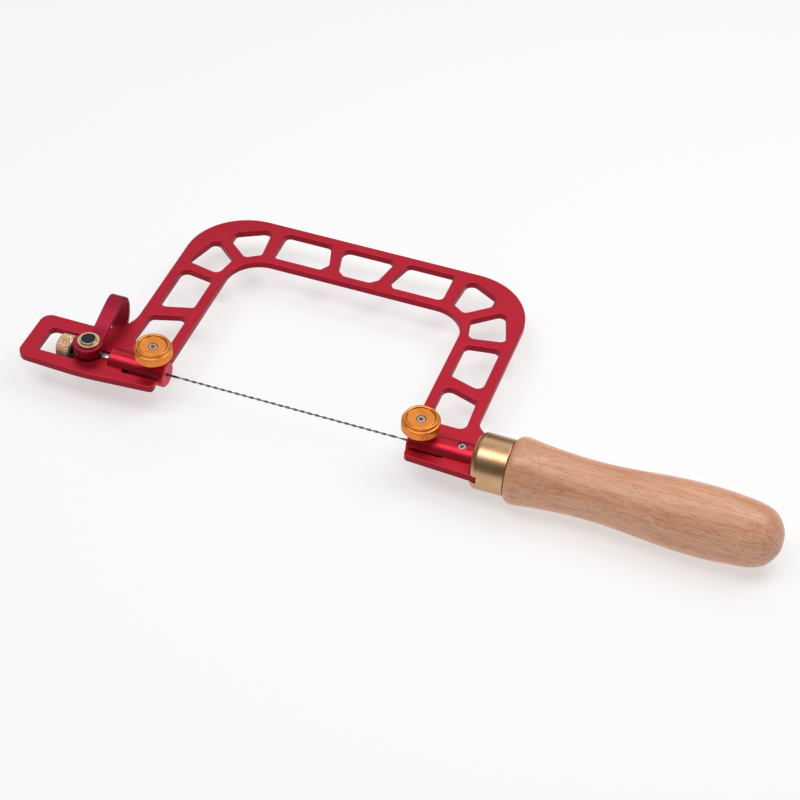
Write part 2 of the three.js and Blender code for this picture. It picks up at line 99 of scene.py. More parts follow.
def new_object(name, bm, smooth_angle=SMOOTH_ANGLE):
    """Object in the row frame from a bmesh drawn in millimetres."""
    bmesh.ops.remove_doubles(bm, verts=bm.verts, dist=WELD_DISTANCE)
    bmesh.ops.recalc_face_normals(bm, faces=bm.faces)
    for vert in bm.verts:
        vert.co = point(*vert.co)
    mesh = bpy.data.meshes.new(name)
    bm.to_mesh(mesh)
    bm.free()
    finish_shading(mesh, smooth_angle)
    obj = bpy.data.objects.new(name, mesh)
    bpy.context.scene.collection.objects.link(obj)
    return obj


def finish_shading(mesh, angle):
    mesh.polygons.foreach_set("use_smooth", [True] * len(mesh.polygons))
    mesh.set_sharp_from_angle(angle=math.radians(angle))
    mesh.update()


def settle(obj):
    """Replace the object's mesh by what its modifiers make of it."""
    bpy.context.view_layer.update()
    depsgraph = bpy.context.evaluated_depsgraph_get()
    mesh = bpy.data.meshes.new_from_object(obj.evaluated_get(depsgraph))
    old = obj.data
    obj.modifiers.clear()
    obj.data = mesh
    mesh.name = old.name
    bpy.data.meshes.remove(old)


def even_normals(obj):
    """Let large flat faces decide the shading, so small rounded edges don't tint them."""
    modifier = obj.modifiers.new("even", "WEIGHTED_NORMAL")
    modifier.weight = 100
    modifier.keep_sharp = True
    settle(obj)


def crisp_caps(obj, direction):
    """Keep faces that look along a direction flat right up to their rounded edges."""
    aligned = 0.9999
    bm = bmesh.new()
    bm.from_mesh(obj.data)
    bm.normal_update()
    for edge in bm.edges:
        flat = [abs(face.normal.dot(Vector(direction))) > aligned for face in edge.link_faces]
        if any(flat) and not all(flat):
            edge.smooth = False
    bm.to_mesh(obj.data)
    bm.free()


def combine(obj, others, operation="DIFFERENCE", angle=SMOOTH_ANGLE):
    """Cut or join other solids with an object. The others are used up."""
    for other in others:
        modifier = obj.modifiers.new("cut", "BOOLEAN")
        modifier.operation = operation
        modifier.solver = "EXACT"
        modifier.object = other
    settle(obj)
    finish_shading(obj.data, angle)
    for other in others:
        bpy.data.objects.remove(other)


def ease_edges(obj, width):
    """Round the hard edges of a cut solid. Width in millimetres."""
    hard_edge = 35
    modifier = obj.modifiers.new("ease", "BEVEL")
    modifier.width = width * MM
    modifier.segments = 2
    modifier.limit_method = "ANGLE"
    modifier.angle_limit = math.radians(hard_edge)
    modifier.use_clamp_overlap = True
    modifier.harden_normals = False
    settle(obj)
    finish_shading(obj.data, SMOOTH_ANGLE)


def lathe(name, axis, centre, profile, segments, relief=None, smooth_angle=SMOOTH_ANGLE,
          closed=False):
    """Turned solid. Profile is (radius, station) pairs along the axis "x" or "z".

    Relief, where given, returns how far the surface sinks at (radius, station, turn).
    """
    bm = bmesh.new()
    rings = []
    for radius, station in profile:
        ring = []
        count = segments if radius > ON_AXIS else 1
        for k in range(count):
            turn = TAU * k / segments
            r = radius - (relief(radius, station, turn) if relief and radius > ON_AXIS else 0)
            a, b = r * math.cos(turn), r * math.sin(turn)
            if axis == "x":
                co = (station, centre[0] + a, centre[1] + b)
            else:
                co = (centre[0] + a, centre[1] + b, station)
            ring.append(bm.verts.new(co))
        rings.append(ring)
    pairs = list(zip(rings, rings[1:]))
    if closed:
        pairs.append((rings[-1], rings[0]))
    for first, second in pairs:
        for k in range(segments):
            n = (k + 1) % segments
            corners = [first[k % len(first)], first[n % len(first)],
                       second[n % len(second)], second[k % len(second)]]
            unique = list(dict.fromkeys(corners))
            if len(unique) > 2:
                bm.faces.new(unique)
    return new_object(name, bm, smooth_angle)


def rounded(corners):
    """Closed outline whose corners (x, y, radius) are rounded by arcs."""
    fineness, per_radius, spacing = 6.0, 0.5, 1.6
    points = []
    count = len(corners)
    for i, corner in enumerate(corners):
        at = Vector(corner[:2])
        radius = corner[2] if len(corner) > 2 else 0
        if radius == 0:
            points.append(at)
            continue
        a = (Vector(corners[i - 1][:2]) - at).normalized()
        b = (Vector(corners[(i + 1) % count][:2]) - at).normalized()
        half = math.acos(max(-1, min(1, a.dot(b)))) / 2
        centre = at + (a + b).normalized() * (radius / math.sin(half))
        start = at + a * (radius / math.tan(half)) - centre
        end = at + b * (radius / math.tan(half)) - centre
        turn = math.atan2(start.x * end.y - start.y * end.x, start.dot(end))
        steps = max(4, math.ceil(abs(turn) * (fineness + per_radius * radius) / spacing))
        for k in range(steps + 1):
            points.append(centre + Matrix.Rotation(turn * k / steps, 2) @ start)
    return points


def mirrored(corners):
    return [(-c[0], *c[1:]) for c in reversed(corners)]


def signed_area(points):
    return sum(p.x * q.y - q.x * p.y for p, q in zip(points, points[1:] + points[:1])) / 2


def inset(points, distance):
    """Points moved into the material, which lies left of the direction of travel."""
    least_cosine = 0.5
    moved = []
    count = len(points)
    for i, at in enumerate(points):
        before = (at - points[i - 1]).normalized()
        after = (points[(i + 1) % count] - at).normalized()
        n1 = Vector((-before.y, before.x))
        n2 = Vector((-after.y, after.x))
        mid = n1 + n2
        if mid.length < ON_AXIS:
            mid = n1
        mid.normalize()
        moved.append(at + mid * (distance / max(least_cosine, mid.dot(n1))))
    return moved


def distinct(loop):
    """The loop's points, without those that repeat the one before."""
    points = [Vector(p) for p in loop]
    return [p for i, p in enumerate(points) if (p - points[i - 1]).length > SAME_POINT]


def plate_solid(name, loops, z0, z1, edge, to3d=None):
    """Flat plate with rounded edges. The first loop is the outline, the rest are holes."""
    steps = 3
    bm = bmesh.new()
    levels = []
    for k in range(steps + 1):
        a = math.pi / 2 * k / steps
        levels.append((edge * (1 - math.sin(a)), z0 + edge * (1 - math.cos(a))))
    levels += [(d, z0 + z1 - z) for d, z in reversed(levels)]
    bottom_edges, top_edges = [], []
    for index, loop in enumerate(loops):
        points = distinct(loop)
        if (signed_area(points) > 0) != (index == 0):
            points.reverse()
        rings = []
        for distance, z in levels:
            ring = inset(points, distance) if distance > 1e-9 else points
            rings.append([bm.verts.new((p.x, p.y, z)) for p in ring])
        for first, second in zip(rings, rings[1:]):
            for k in range(len(first)):
                n = (k + 1) % len(first)
                bm.faces.new((first[k], first[n], second[n], second[k]))
        for ring, store in ((rings[0], bottom_edges), (rings[-1], top_edges)):
            for k in range(len(ring)):
                store.append(bm.edges.get((ring[k], ring[(k + 1) % len(ring)])))
    for edges in (bottom_edges, top_edges):
        bmesh.ops.triangle_fill(bm, use_beauty=True, use_dissolve=False, edges=edges)
    if to3d:
        for vert in bm.verts:
            vert.co = to3d(vert.co)
    return new_object(name, bm)


def cuboid(x0, x1, y0, y1, z0, z1):
    """Block used to cut or to join."""
    bm = bmesh.new()
    bmesh.ops.create_cube(bm, size=1)
    for vert in bm.verts:
        vert.co = (x0 if vert.co.x < 0 else x1, y0 if vert.co.y < 0 else y1,
                   z0 if vert.co.z < 0 else z1)
    return new_object("cutter", bm)


def rod(axis, centre, radius, a, b, segments=64):
    """Round bar, or a prism when given few segments, used to cut."""
    profile = [(0, a), (radius, a), (radius, b), (0, b)]
    return lathe("cutter", axis, centre, profile, segments)


def spline(points, count):
    """Catmull-Rom curve through points, count points long."""
    result = []
    last = len(points) - 1
    for i in range(count):
        t = last * i / (count - 1)
        k = min(last - 1, int(t))
        f = t - k
        p0 = points[max(0, k - 1)]
        p1, p2 = points[k], points[k + 1]
        p3 = points[min(last, k + 2)]
        result.append(tuple(
            0.5 * (2 * b + (c - a) * f + (2 * a - 5 * b + 4 * c - d) * f * f
                   + (3 * b - a - 3 * c + d) * f ** 3)
            for a, b, c, d in zip(p0, p1, p2, p3)))
    return result


def eased_profile(profile, radius):
    """Round every corner of an open (radius, station) profile but its two ends."""
    steps, longest_share = 3, 0.45
    points = [Vector(p) for p in profile]
    out = [points[0]]
    for before, at, after in zip(points, points[1:], points[2:]):
        a, b = before - at, after - at
        reach = min(radius, a.length * longest_share, b.length * longest_share)
        start, end = at + a.normalized() * reach, at + b.normalized() * reach
        for k in range(steps + 1):
            t = k / steps
            out.append(start * (1 - t) ** 2 + at * 2 * t * (1 - t) + end * t * t)
    out.append(points[-1])
    return [tuple(p) for p in out]


# ---- materials ----------------------------------------------------------------------------

class Nodes:
    """Small builder for a procedural material."""

    def __init__(self, name):
        self.material = bpy.data.materials.new(name)
        self.material.use_nodes = True
        self.tree = self.material.node_tree
        self.tree.nodes.clear()
        self.shader = self.add("ShaderNodeBsdfPrincipled")
        output = self.add("ShaderNodeOutputMaterial")
        self.link(self.shader.outputs[0], output.inputs[0])
        self.coordinates = self.add("ShaderNodeTexCoord").outputs["Object"]

    def add(self, kind, **inputs):
        node = self.tree.nodes.new(kind)
        for key, value in inputs.items():
            node.inputs[key].default_value = value
        return node

    def link(self, a, b):
        self.tree.links.new(a, b)

    def moved(self, centre=(0, 0, 0), scale=(1, 1, 1)):
        """Coordinates about a centre, scaled."""
        shift = self.add("ShaderNodeVectorMath")
        shift.operation = "SUBTRACT"
        shift.inputs[1].default_value = centre
        self.link(self.coordinates, shift.inputs[0])
        stretch = self.add("ShaderNodeVectorMath")
        stretch.operation = "MULTIPLY"
        stretch.inputs[1].default_value = scale
        self.link(shift.outputs[0], stretch.inputs[0])
        return stretch.outputs[0]

    def noise(self, vector, scale, detail=3.0, roughness=0.5):
        node = self.add("ShaderNodeTexNoise", Scale=scale, Detail=detail, Roughness=roughness)
        self.link(vector, node.inputs["Vector"])
        return node.outputs["Fac"]

    def ramp(self, value, stops):
        node = self.add("ShaderNodeValToRGB")
        elements = node.color_ramp.elements
        while len(elements) < len(stops):
            elements.new(0.5)
        for element, (position, color) in zip(elements, stops):
            element.position = position
            element.color = (*color, 1) if len(color) == 3 else color
        self.link(value, node.inputs[0])
        return node.outputs[0]

    def grey(self, value, stops):
        return self.ramp(value, [(p, (v, v, v)) for p, v in stops])

    def mix(self, factor, a, b):
        node = self.add("ShaderNodeMix")
        node.data_type = "RGBA"
        for socket, value in ((node.inputs[0], factor), (node.inputs[6], a), (node.inputs[7], b)):
            if isinstance(value, (int, float)):
                socket.default_value = value
            elif isinstance(value, tuple):
                socket.default_value = (*value, 1)
            else:
                self.link(value, socket)
        return node.outputs[2]

    def math(self, operation, a, b=0.0):
        node = self.add("ShaderNodeMath")
        node.operation = operation
        for socket, value in ((node.inputs[0], a), (node.inputs[1], b)):
            if isinstance(value, (int, float)):
                socket.default_value = value
            else:
                self.link(value, socket)
        return node.outputs[0]

    def bump(self, height, distance, strength):
        node = self.add("ShaderNodeBump", Strength=strength, Distance=distance)
        self.link(height, node.inputs["Height"])
        self.link(node.outputs[0], self.shader.inputs["Normal"])

    def roughness(self, value, stops):
        self.link(self.grey(value, stops), self.shader.inputs["Roughness"])

    def color(self, value):
        socket = self.shader.inputs["Base Color"]
        if isinstance(value, tuple):
            socket.default_value = (*value, 1)
        else:
            self.link(value, socket)

    def constant(self, **values):
        for key, value in values.items():
            self.shader.inputs[key.replace("_", " ")].default_value = value

    def edges(self, low, high):
        """White on convex edges."""
        geometry = self.add("ShaderNodeNewGeometry")
        return self.grey(geometry.outputs["Pointiness"], [(low, 0.0), (high, 1.0)])


def red_anodised(name, low, high, wall=0.0):
    """Bead-blasted and dyed aluminium; upright walls get painted shade, darkened by the given
    share.
    """
    n = Nodes(name)
    grain = n.noise(n.coordinates, 2600, 2)
    cloud = n.noise(n.coordinates, 45, 3)
    base = n.ramp(cloud, [(0.3, low), (0.7, high)])
    speckle = n.ramp(grain, [(0.35, (0.30, 0.01, 0.02)), (0.65, (0.75, 0.06, 0.09))])
    fine = n.mix(0.10, base, speckle)
    geometry = n.add("ShaderNodeNewGeometry")
    upright = n.add("ShaderNodeSeparateXYZ")
    n.link(geometry.outputs["True Normal"], upright.inputs[0])
    # painted shade: upright walls are darkened towards a dark red by the given share, standing in
    # for the shade they catch
    painted_wall_shade = n.grey(n.math("ABSOLUTE", upright.outputs["Z"]), [(0.15, wall), (0.5, 0.0)])
    n.color(n.mix(painted_wall_shade, fine, (0.10, 0.004, 0.012)))
    n.roughness(cloud, [(0.3, 0.36), (0.7, 0.44)])
    n.constant(Metallic=0.9)
    n.bump(grain, 0.00003, 0.25)
    return n.material


def gold_anodised(name, centre):
    """Turned and dyed aluminium: fine rings about the knob's axis."""
    ring_pitch = 0.22 * MM
    n = Nodes(name)
    flat = n.moved(centre, (1, 1, 0))
    length = n.add("ShaderNodeVectorMath")
    length.operation = "LENGTH"
    n.link(flat, length.inputs[0])
    rings = n.math("SINE", n.math("MULTIPLY", length.outputs["Value"], TAU / ring_pitch))
    waver = n.noise(n.moved(centre), 900, 2)
    cloud = n.noise(n.moved(centre), 160, 2)
    base = n.ramp(cloud, [(0.3, (0.76, 0.25, 0.045)), (0.7, (0.84, 0.30, 0.060))])
    worn = n.edges(0.53, 0.64)
    n.color(n.mix(n.math("MULTIPLY", worn, 0.35), base, (1.0, 0.58, 0.22)))
    n.roughness(waver, [(0.3, 0.27), (0.7, 0.36)])
    n.constant(Metallic=0.9)
    n.bump(n.math("ADD", rings, waver), 0.000012, 0.3)
    return n.material


def brass(name, along, tone, pale, rough):
    """Turned brass with fine tool lines and a faint tarnish."""
    n = Nodes(name)
    stretch = {"x": (3000, 20, 20), "z": (20, 20, 3000)}[along]
    lines = n.noise(n.moved((0, 0, 0), stretch), 1.0, 2)
    cloud = n.noise(n.coordinates, 130, 3)
    n.color(n.mix(n.grey(cloud, [(0.35, 0.0), (0.75, 1.0)]), tone, pale))
    n.roughness(lines, [(0.3, rough[0]), (0.7, rough[1])])
    n.constant(Metallic=1.0)
    n.bump(lines, 0.00001, 0.12)
    return n.material


def steel(name, tone, rough, along=None, metallic=1.0):
    """Plain steel, bright or blackened, with a faint machined grain."""
    n = Nodes(name)
    scale = {"x": (6000, 60, 60), "z": (60, 60, 6000), None: (900, 900, 900)}[along]
    grain = n.noise(n.moved((0, 0, 0), scale), 1.0, 2)
    cloud = n.noise(n.coordinates, 220, 3)
    dark = tuple(c * 0.75 for c in tone)
    n.color(n.mix(cloud, dark, tone))
    n.roughness(grain, [(0.3, rough * 0.85), (0.7, rough * 1.2)])
    n.constant(Metallic=metallic)
    n.bump(grain, 0.00001, 0.25)
    return n.material


def matt_black():
    """Black nylon with a fine even grain."""
    n = Nodes("black_nylon")
    grain = n.noise(n.coordinates, 1500, 3)
    n.color(n.mix(grain, (0.012, 0.010, 0.012), (0.035, 0.030, 0.032)))
    n.roughness(grain, [(0.3, 0.42), (0.7, 0.60)])
    n.bump(grain, 0.00002, 0.3)
    return n.material


def beech():
    """Oiled beech: long soft grain, short dark flecks and a light satin coat."""
    n = Nodes("beech")
    warp = n.noise(n.moved((0, 0, 0), (18, 60, 60)), 1.0, 2)
    bent = n.add("ShaderNodeVectorMath")
    bent.operation = "MULTIPLY_ADD"
    bent.inputs[1].default_value = (0.0, 0.0012, 0.0016)
    n.link(warp, bent.inputs[0])
    n.link(n.coordinates, bent.inputs[2])
    n.coordinates = bent.outputs[0]
    broad = n.noise(n.moved((0, 0, 0), (9, 95, 95)), 1.0, 4, 0.6)
    lines = n.noise(n.moved((0, 0, 0), (45, 850, 850)), 1.0, 3, 0.6)
    short_flecks = n.noise(n.moved((0.3, 0.1, 0.2), (330, 2400, 2400)), 1.0, 1.5, 0.5)
    long_flecks = n.noise(n.moved((0.1, 0.4, 0.3), (170, 1500, 1500)), 1.0, 1.5, 0.5)
    base = n.ramp(broad, [(0.30, (0.62, 0.30, 0.175)), (0.50, (0.73, 0.38, 0.23)),
                          (0.72, (0.82, 0.46, 0.295))])
    toned = n.mix(n.grey(lines, [(0.35, 0.62), (0.58, 0.0)]), base, (0.55, 0.21, 0.10))
    marks = n.math("MAXIMUM", n.grey(short_flecks, [(0.56, 0.0), (0.68, 0.62)]),
                   n.grey(long_flecks, [(0.62, 0.0), (0.74, 0.35)]))
    n.color(n.mix(marks, toned, (0.43, 0.15, 0.075)))
    n.roughness(lines, [(0.3, 0.46), (0.7, 0.36)])
    n.constant(Coat_Weight=0.3, Coat_Roughness=0.3, IOR=1.45)
    height = n.math("SUBTRACT", n.math("MULTIPLY", lines, 0.5), marks)
    n.bump(height, 0.00006, 0.35)
    return n.material


RED_DYE = (0.51, 0.017, 0.038), (0.58, 0.023, 0.047)
RED = red_anodised("red_anodised", *RED_DYE)
# the last argument is the share of painted shade on upright walls
PLATE_RED = red_anodised("plate_red", *RED_DYE, 0.6)
LEVER_RED = red_anodised("lever_red", (0.36, 0.014, 0.042), (0.42, 0.019, 0.054), 0.3)
BRASS_FERRULE = brass("brass_ferrule", "x", (0.57, 0.335, 0.172), (0.64, 0.40, 0.235),
                      (0.30, 0.36))
BRASS_NUT = brass("brass_nut", "x", (0.70, 0.46, 0.27), (0.80, 0.57, 0.37), (0.30, 0.40))
BRASS_BUSH = brass("brass_bush", "z", (0.62, 0.42, 0.21), (0.72, 0.52, 0.30), (0.26, 0.36))
BRIGHT_STEEL = steel("bright_steel", (0.64, 0.64, 0.66), 0.28)
ROD_STEEL = steel("rod_steel", (0.62, 0.62, 0.64), 0.25, "x")
BLADE_STEEL = steel("blade_steel", (0.16, 0.155, 0.16), 0.34, "x")
BLACK_STEEL = steel("black_steel", (0.010, 0.007, 0.008), 0.5, None, 0.2)
BLACK_NYLON = matt_black()
BEECH = beech()


def fit_out(obj, body, material, node):
    """Give a piece its material and body, and let it stand for a CAD node."""
    obj.data.materials.clear()
    obj.data.materials.append(material)
    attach(obj, body)
    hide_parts(node)


# ---- frame plate ----------------------------------------------------------------------------

CAM_X = middle_x("cam_barrel")
SCREW_X = middle_x("holder_set_screw")
SCREW_HOLE_R = 1.85
BARREL_R = 3.45
BARREL_PLAY = 0.05
ROD_SLOT = 2.4
ROD_BORE_R = 2.1
TENSION_SLOT, FIXED_SLOT = 6.8, 6.0
TENSION_SLOT_END, FIXED_SLOT_END = -69.8, 70.0
FERRULE_FRONT = extent("ferrule")[0].x
SHOULDER, NOSE_END, TANG_END = 82.6, 85.6, 121
NOSE_HALF = 11.2
TANG_HALF = 4
WINDOW_RIGHT, WINDOW_LEFT = -91.4, -108.5
WINDOW_HIGH, WINDOW_LOW = 8.0, -6.6
TONGUE_TIP, NOSE_TIP = -53.9, 54.8
PLATE_EDGE = 0.3

SIDE_WINDOWS = [
    [(57.8, 12.3, 2.5), (73.7, 12.3, 3.2), (73.0, 30.0, 2.2), (57.8, 34.9, 3.2)],
    [(57.9, 40.7, 1.6), (72.9, 36.2, 3), (72.9, 63.4, 3), (57.9, 61.0, 2.6)],
    [(57.4, 65.2, 3), (73.4, 68.4, 2.4), (67.5, 87.2, 2.6), (55.0, 76.7, 1.8)],
    [(44.5, 83.9, 1.2), (50.9, 79.7, 2.4), (60.8, 88.0, 2.6), (60.8, 94.2, 1.8),
     (46.3, 102.3, 3.2)],
    [(16.9, 84.0, 1.2), (39.5, 84.0, 2.6), (39.5, 101.8, 2.2), (18.3, 101.8, 2.6),
     (14.3, 88.2, 1.2)],
]
MIDDLE_WINDOW = [(-6.1, 83.7, 2), (6.1, 83.7, 2), (9.3, 86.6, 2), (12.6, 101.8, 3.4),
                 (-12.6, 101.8, 3.4), (-9.3, 86.6, 2)]


def barrel_arc(side):
    """One side of the cross hole for the barrel, between the rod slot's edges."""
    r = BARREL_R + BARREL_PLAY
    start = math.asin(ROD_SLOT / r)
    steps = 16
    angles = [start + (math.pi - 2 * start) * k / steps for k in range(steps + 1)]
    points = [(CAM_X + r * math.cos(a), side * r * math.sin(a)) for a in angles]
    return points if side > 0 else points[::-1]


def plate_outline():
    """The plate's edge as (x, y, corner radius), with its slots and the window in its tail."""
    arm_outer, arm_inner, back_outer, back_inner = 77.65, 53.3, 106.1, 79.8
    return rounded([
        (-arm_inner, back_inner, 15), (-arm_inner, TENSION_SLOT, 0.8),
        (TENSION_SLOT_END, TENSION_SLOT, 1), (TENSION_SLOT_END, ROD_SLOT),
        *barrel_arc(1),
        (WINDOW_RIGHT, ROD_SLOT), (WINDOW_RIGHT, WINDOW_HIGH, 1.5),
        (WINDOW_LEFT, WINDOW_HIGH, 2.6), (WINDOW_LEFT, WINDOW_LOW, 1.2),
        (WINDOW_RIGHT, WINDOW_LOW, 1.2), (WINDOW_RIGHT, -ROD_SLOT),
        *barrel_arc(-1),
        (TENSION_SLOT_END, -ROD_SLOT), (TENSION_SLOT_END, -TENSION_SLOT, 1),
        (TONGUE_TIP, -TENSION_SLOT, 0.8), (TONGUE_TIP, -10.9, 1.8),
        (-85.5, -13.3, 130), (TAIL_LEFT, -12.0, 4.6), (TAIL_LEFT, 14.8, 4.6),
        (-arm_outer, 14.8, 14), (-arm_outer, back_outer, 28), (arm_outer, back_outer, 28),
        (arm_outer, 17.2, 7), (SHOULDER, 12.6, 0.8), (SHOULDER, NOSE_HALF),
        (NOSE_END, NOSE_HALF, 0.6), (NOSE_END, TANG_HALF, 1), (TANG_END, TANG_HALF, 2),
        (TANG_END, -TANG_HALF, 2), (NOSE_END, -TANG_HALF, 1), (NOSE_END, -NOSE_HALF, 0.6),
        (FERRULE_FRONT, -NOSE_HALF, 8), (NOSE_TIP, -9.7, 2), (NOSE_TIP, -FIXED_SLOT, 0.8),
        (FIXED_SLOT_END, -FIXED_SLOT, 1.4), (FIXED_SLOT_END, FIXED_SLOT, 1.4),
        (arm_inner, FIXED_SLOT, 0.8), (arm_inner, back_inner, 15),
    ])


def make_plate():
    holes = [MIDDLE_WINDOW, *SIDE_WINDOWS, *(mirrored(w) for w in SIDE_WINDOWS)]
    loops = [plate_outline(), *(rounded(h) for h in holes)]
    count = 40
    turns = [TAU * k / count for k in range(count)]
    loops.append([(SCREW_X + SCREW_HOLE_R * math.cos(turn), SCREW_HOLE_R * math.sin(turn))
                  for turn in turns])
    lo, hi = extent("frame_plate")
    plate = plate_solid("plate", loops, lo.z, hi.z, PLATE_EDGE)
    crisp_caps(plate, (0, 0, 1))
    even_normals(plate)
    fit_out(plate, "frame", PLATE_RED, "frame_plate")


make_plate()

# ---- blade holders --------------------------------------------------------------------------

HOLDER_R = 5.5
HOLDER_CHAMFER = 0.4
KERF = 1.75
CLAMP_HOLE_R = 2.0
BLADE_HOLE_R, BLADE_HOLE_DEPTH = 0.9, 15
ROD_SOCKET_R, ROD_SOCKET_END = 2.05, -70.0
TENSION_KERF_END, FIXED_KERF_START = -67.3, 67.6
CUT_REACH = 8
CUT_EDGE = 0.12


def holder_bar(name, lo, hi):
    inner_r = HOLDER_R - HOLDER_CHAMFER
    profile = [(0, lo.x), (inner_r, lo.x), (HOLDER_R, lo.x + HOLDER_CHAMFER),
               (HOLDER_R, hi.x - HOLDER_CHAMFER), (inner_r, hi.x), (0, hi.x)]
    return lathe(name, "x", (0, 0), eased_profile(profile, 0.15), 96)


def finish_holder(side, kerf, blade_hole, extra_hole, body):
    """Bar that straddles the plate, cut for the plate, the blade, its clamp and one more."""
    node = f"{side}_holder"
    bar = holder_bar(f"{side}_bar", *extent(node))
    clamp_x = middle_x(f"{side}_clamp_screw")
    combine(bar, [
        cuboid(*kerf, -CUT_REACH, CUT_REACH, -KERF, KERF),
        rod("x", (0, 0), BLADE_HOLE_R, *blade_hole, 32),
        rod("z", (clamp_x, 0), CLAMP_HOLE_R, 0, CUT_REACH, 48),
        extra_hole,
    ])
    ease_edges(bar, CUT_EDGE)
    even_normals(bar)
    fit_out(bar, body, RED, node)


def make_holders():
    lo, hi = extent("tension_holder")
    finish_holder("tension", (lo.x - 1, TENSION_KERF_END), (hi.x - BLADE_HOLE_DEPTH, hi.x + 1),
                  rod("x", (0, 0), ROD_SOCKET_R, lo.x - 1, ROD_SOCKET_END, 48), "tension_carriage")
    lo, hi = extent("fixed_holder")
    finish_holder("fixed", (FIXED_KERF_START, hi.x + 1), (lo.x - 1, lo.x + BLADE_HOLE_DEPTH),
                  rod("z", (SCREW_X, 0), SCREW_HOLE_R, -CUT_REACH, CUT_REACH, 48), "frame")


make_holders()


THREAD_PITCH = 0.7
THREAD_LEAD_IN = 0.5
THREAD_CHAMFER = 0.4
FULL_RADIUS = 0.01


def thread_relief(r, depth, start, end):
    """How far a thread of the pitch sinks below radius r, between two stations."""

    def relief(radius, station, turn):
        if radius < r - FULL_RADIUS or station > end or station < start:
            return 0
        phase = (station / THREAD_PITCH - turn / TAU) % 1
        return depth * abs(2 * phase - 1)

    return relief


def socket_screw(name, node, body):
    """Grub screw with a thread below and a hexagon socket in its top."""
    lo, hi = extent(node)
    x = (lo.x + hi.x) / 2
    r = (hi.x - lo.x) / 2
    depth, top_chamfer, rings = 0.18, 0.28, 90
    hexagon_across, hexagon_depth = 2, 2
    top = hi.z - 0.3
    relief = thread_relief(r, depth, lo.z + THREAD_LEAD_IN, top - THREAD_LEAD_IN)
    start = lo.z + THREAD_CHAMFER
    side = [(r, start + (top - lo.z - THREAD_CHAMFER) * k / rings) for k in range(rings + 1)]
    profile = [(0, lo.z), (r - THREAD_CHAMFER, lo.z), *side, (r - top_chamfer, hi.z), (0, hi.z)]
    screw = lathe(name, "z", (x, 0), profile, 48, relief)
    hexagon = rod("z", (x, 0), hexagon_across / math.sqrt(3), hi.z - hexagon_depth, hi.z + 1, 6)
    combine(screw, [hexagon], angle=35)
    fit_out(screw, body, BRIGHT_STEEL, node)


socket_screw("set_screw", "holder_set_screw", "frame")
socket_screw("tension_screw", "tension_clamp_screw", "tension_knob")
socket_screw("fixed_screw", "fixed_clamp_screw", "fixed_knob")

# ---- blade ----------------------------------------------------------------------------------


def make_blade():
    """Flat strip twisted about its own length, with plain round ends in the holders."""
    lo, hi = extent("blade")
    half_width, half_thickness = 0.49, 0.19
    twist_pitch, tooth_pitch, tooth_depth = 6.4, 0.95, 0.10
    plain_end, build_up, slow_twist = 1.5, 9, 0.18
    corners = 8
    left = extent("tension_holder")[1].x
    right = extent("fixed_holder")[0].x
    bm = bmesh.new()
    steps = 900
    rings = []
    turn = 0.0
    for k in range(steps + 1):
        x = lo.x + (hi.x - lo.x) * k / steps
        inside = min(x - left, right - x)
        twist = 0.0 if inside < plain_end else min(1.0, (inside - plain_end) / build_up)
        if inside > -1:
            rate = slow_twist + (1 - slow_twist) * twist
            turn += TAU / twist_pitch * rate * (hi.x - lo.x) / steps
        notch = tooth_depth * twist * (0.5 - 0.5 * math.cos(TAU * x / tooth_pitch))
        ring = []
        for corner in range(corners):
            a = TAU * (corner + 0.5) / corners
            y = math.copysign(min(half_width, abs(math.cos(a)) * 0.62), math.cos(a))
            z = math.copysign(min(half_thickness, abs(math.sin(a)) * 0.3), math.sin(a))
            if corner in (0, corners - 1):
                y -= notch
            c, s = math.cos(turn), math.sin(turn)
            ring.append(bm.verts.new((x, y * c - z * s, y * s + z * c)))
        rings.append(ring)
    for first, second in zip(rings, rings[1:]):
        for k in range(corners):
            n = (k + 1) % corners
            bm.faces.new((first[k], first[n], second[n], second[k]))
    bm.faces.new(rings[0])
    bm.faces.new(rings[-1][::-1])
    blade = new_object("blade_strip", bm, 30)
    fit_out(blade, "frame", BLADE_STEEL, "blade")


make_blade()

# ---- clamp knobs ----------------------------------------------------------------------------


NECK_HEIGHT = 3.35


def make_knob(side):
    """Dished and ringed thumb knob on a neck, with a fluted skirt."""
    lo, hi = extent(f"{side}_clamp_knob")
    x = (lo.x + hi.x) / 2
    r = (hi.x - lo.x) / 2
    head = lo.z + NECK_HEIGHT
    top = hi.z
    bore, neck_r, ease = 1.9, 3.9, 0.2
    flutes, flute_depth = 84, 0.16

    def knurl(radius, station, turn):
        if radius < r - FULL_RADIUS:
            return 0
        return flute_depth * (0.5 - 0.5 * math.cos(flutes * turn))

    skirt_low, skirt_high, skirt_steps = head + 0.55, top - 2.1, 3
    skirt = [(r, skirt_low + (skirt_high - skirt_low) * k / skirt_steps)
             for k in range(skirt_steps + 1)]
    lower = eased_profile([(bore, lo.z), (neck_r, lo.z), (neck_r, head), (r - 0.6, head),
                           (r - 0.02, head + 0.5)], ease)
    upper = eased_profile([(r - 0.02, top - 2.05), (r - 0.02, top - 1.7), (r - 0.3, top - 1.42),
                           (7.15, top - 1.35), (6.95, top - 1.15), (7.12, top - 0.6),
                           (7.1, top - 0.25), (6.8, top - 0.02), (6.4, top), (6.0, top - 0.15),
                           (5.75, top - 0.62), (5.55, top - 0.75), (5.3, top - 0.62),
                           (3.4, top - 0.72), (bore, top - 0.78), (bore, lo.z)], ease)
    knob = lathe(f"{side}_knob", "z", (x, 0), lower + skirt + upper[:-1], flutes * 4, knurl,
                 50, closed=True)
    material = gold_anodised(f"gold_{side}", point(x, 0, top))
    fit_out(knob, f"{side}_knob", material, f"{side}_clamp_knob")


for side in ("tension", "fixed"):
    make_knob(side)

# ---- cam lever ------------------------------------------------------------------------------

